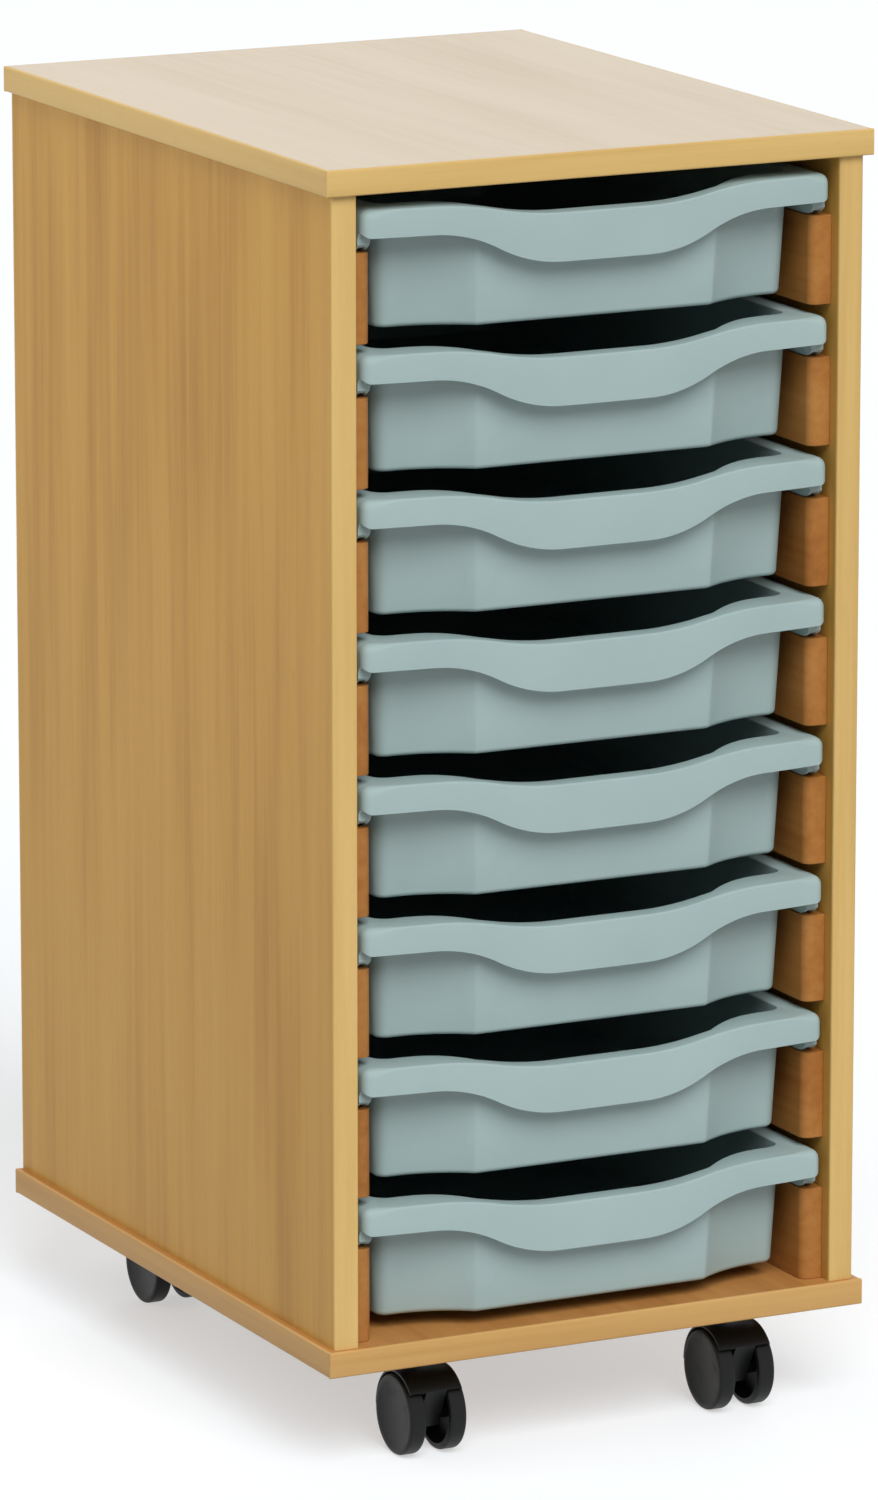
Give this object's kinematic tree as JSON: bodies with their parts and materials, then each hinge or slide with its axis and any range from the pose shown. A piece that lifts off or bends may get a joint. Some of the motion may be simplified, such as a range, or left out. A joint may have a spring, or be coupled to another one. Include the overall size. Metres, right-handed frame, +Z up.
{
  "type": "tray storage unit",
  "caption": "Mobile beech-effect storage cabinet with one column of shallow grey plastic trays on runner blocks and twin-wheel castors.",
  "frame": {"origin": "the middle of the outer box's underside: on the floor, midway between left and right, and midway between the front of the tray lips and the back edge", "axes": "+Z up; +X to the right seen from the front; the open front, with the tray lips, faces -Y and the trays slide out that way"},
  "size_m": [0.364, 0.4715, 0.795],
  "materials": {
    "beech_board": "satin beech-effect facing, fine straight grain",
    "beech_edging": "satin beech-effect edge strip, slightly lighter than the boards",
    "runner_board": "satin beech-effect facing",
    "dowel_wood": "plain turned beech",
    "tray_plastic": "matt moulded plastic, pale grey",
    "castor_nylon": "black moulded nylon with a fine matt texture",
    "wheel_nylon": "black moulded nylon, smooth, slightly scuffed on the tread",
    "castor_steel": "zinc-plated steel",
    "screw_steel": "zinc-plated steel"
  },
  "bodies": {
    "cabinet": {"top_panel": "beech_board", "base_panel": "beech_board", "left_side_panel": "beech_board", "right_side_panel": "beech_board", "back_panel": "beech_board", "top_edging": "beech_edging", "base_edging": "beech_edging", "left_side_edging": "beech_edging", "right_side_edging": "beech_edging", "panel_dowels": "dowel_wood", "castor_screws": "screw_steel", "left_runner_1": "runner_board", "left_runner_2": "runner_board", "left_runner_3": "runner_board", "left_runner_4": "runner_board", "left_runner_5": "runner_board", "left_runner_6": "runner_board", "left_runner_7": "runner_board", "left_runner_8": "runner_board", "right_runner_1": "runner_board", "right_runner_2": "runner_board", "right_runner_3": "runner_board", "right_runner_4": "runner_board", "right_runner_5": "runner_board", "right_runner_6": "runner_board", "right_runner_7": "runner_board", "right_runner_8": "runner_board", "front_left_castor_plate": "castor_steel", "front_left_castor_pin": "castor_steel", "front_right_castor_plate": "castor_steel", "front_right_castor_pin": "castor_steel", "back_left_castor_plate": "castor_steel", "back_left_castor_pin": "castor_steel", "back_right_castor_plate": "castor_steel", "back_right_castor_pin": "castor_steel"},
    "tray_1": {"tray_1": "tray_plastic"},
    "tray_2": {"tray_2": "tray_plastic"},
    "tray_3": {"tray_3": "tray_plastic"},
    "tray_4": {"tray_4": "tray_plastic"},
    "tray_5": {"tray_5": "tray_plastic"},
    "tray_6": {"tray_6": "tray_plastic"},
    "tray_7": {"tray_7": "tray_plastic"},
    "tray_8": {"tray_8": "tray_plastic"},
    "front_left_castor": {"front_left_castor_housing": "castor_nylon", "front_left_castor_axle": "castor_steel"},
    "front_left_castor_left_wheel": {"front_left_castor_left_wheel": "wheel_nylon"},
    "front_left_castor_right_wheel": {"front_left_castor_right_wheel": "wheel_nylon"},
    "front_right_castor": {"front_right_castor_housing": "castor_nylon", "front_right_castor_axle": "castor_steel"},
    "front_right_castor_left_wheel": {"front_right_castor_left_wheel": "wheel_nylon"},
    "front_right_castor_right_wheel": {"front_right_castor_right_wheel": "wheel_nylon"},
    "back_left_castor": {"back_left_castor_housing": "castor_nylon", "back_left_castor_axle": "castor_steel"},
    "back_left_castor_left_wheel": {"back_left_castor_left_wheel": "wheel_nylon"},
    "back_left_castor_right_wheel": {"back_left_castor_right_wheel": "wheel_nylon"},
    "back_right_castor": {"back_right_castor_housing": "castor_nylon", "back_right_castor_axle": "castor_steel"},
    "back_right_castor_left_wheel": {"back_right_castor_left_wheel": "wheel_nylon"},
    "back_right_castor_right_wheel": {"back_right_castor_right_wheel": "wheel_nylon"}
  },
  "joints": [
    {"name": "tray_1_slide", "type": "slide", "parent": "cabinet", "child": "tray_1", "axis": [0, -1, 0], "range_m": [0, 0.3]},
    {"name": "tray_2_slide", "type": "slide", "parent": "cabinet", "child": "tray_2", "axis": [0, -1, 0], "range_m": [0, 0.3]},
    {"name": "tray_3_slide", "type": "slide", "parent": "cabinet", "child": "tray_3", "axis": [0, -1, 0], "range_m": [0, 0.3]},
    {"name": "tray_4_slide", "type": "slide", "parent": "cabinet", "child": "tray_4", "axis": [0, -1, 0], "range_m": [0, 0.3]},
    {"name": "tray_5_slide", "type": "slide", "parent": "cabinet", "child": "tray_5", "axis": [0, -1, 0], "range_m": [0, 0.3]},
    {"name": "tray_6_slide", "type": "slide", "parent": "cabinet", "child": "tray_6", "axis": [0, -1, 0], "range_m": [0, 0.3]},
    {"name": "tray_7_slide", "type": "slide", "parent": "cabinet", "child": "tray_7", "axis": [0, -1, 0], "range_m": [0, 0.3]},
    {"name": "tray_8_slide", "type": "slide", "parent": "cabinet", "child": "tray_8", "axis": [0, -1, 0], "range_m": [0, 0.3]},
    {"name": "front_left_castor_swivel", "type": "hinge", "parent": "cabinet", "child": "front_left_castor", "pos_m": [-0.106, -0.18125, 0.045], "axis": [0, 0, 1], "continuous": true},
    {"name": "front_left_castor_left_wheel_turn", "type": "hinge", "parent": "front_left_castor", "child": "front_left_castor_left_wheel", "pos_m": [-0.106, -0.20025, 0.025], "axis": [1, 0, 0], "continuous": true},
    {"name": "front_left_castor_right_wheel_turn", "type": "hinge", "parent": "front_left_castor", "child": "front_left_castor_right_wheel", "pos_m": [-0.106, -0.20025, 0.025], "axis": [1, 0, 0], "continuous": true},
    {"name": "front_right_castor_swivel", "type": "hinge", "parent": "cabinet", "child": "front_right_castor", "pos_m": [0.106, -0.18125, 0.045], "axis": [0, 0, 1], "continuous": true},
    {"name": "front_right_castor_left_wheel_turn", "type": "hinge", "parent": "front_right_castor", "child": "front_right_castor_left_wheel", "pos_m": [0.106, -0.20025, 0.025], "axis": [1, 0, 0], "continuous": true},
    {"name": "front_right_castor_right_wheel_turn", "type": "hinge", "parent": "front_right_castor", "child": "front_right_castor_right_wheel", "pos_m": [0.106, -0.20025, 0.025], "axis": [1, 0, 0], "continuous": true},
    {"name": "back_left_castor_swivel", "type": "hinge", "parent": "cabinet", "child": "back_left_castor", "pos_m": [-0.106, 0.18575, 0.045], "axis": [0, 0, 1], "continuous": true},
    {"name": "back_left_castor_left_wheel_turn", "type": "hinge", "parent": "back_left_castor", "child": "back_left_castor_left_wheel", "pos_m": [-0.106, 0.16675, 0.025], "axis": [1, 0, 0], "continuous": true},
    {"name": "back_left_castor_right_wheel_turn", "type": "hinge", "parent": "back_left_castor", "child": "back_left_castor_right_wheel", "pos_m": [-0.106, 0.16675, 0.025], "axis": [1, 0, 0], "continuous": true},
    {"name": "back_right_castor_swivel", "type": "hinge", "parent": "cabinet", "child": "back_right_castor", "pos_m": [0.106, 0.18575, 0.045], "axis": [0, 0, 1], "continuous": true},
    {"name": "back_right_castor_left_wheel_turn", "type": "hinge", "parent": "back_right_castor", "child": "back_right_castor_left_wheel", "pos_m": [0.106, 0.16675, 0.025], "axis": [1, 0, 0], "continuous": true},
    {"name": "back_right_castor_right_wheel_turn", "type": "hinge", "parent": "back_right_castor", "child": "back_right_castor_right_wheel", "pos_m": [0.106, 0.16675, 0.025], "axis": [1, 0, 0], "continuous": true}
  ]
}
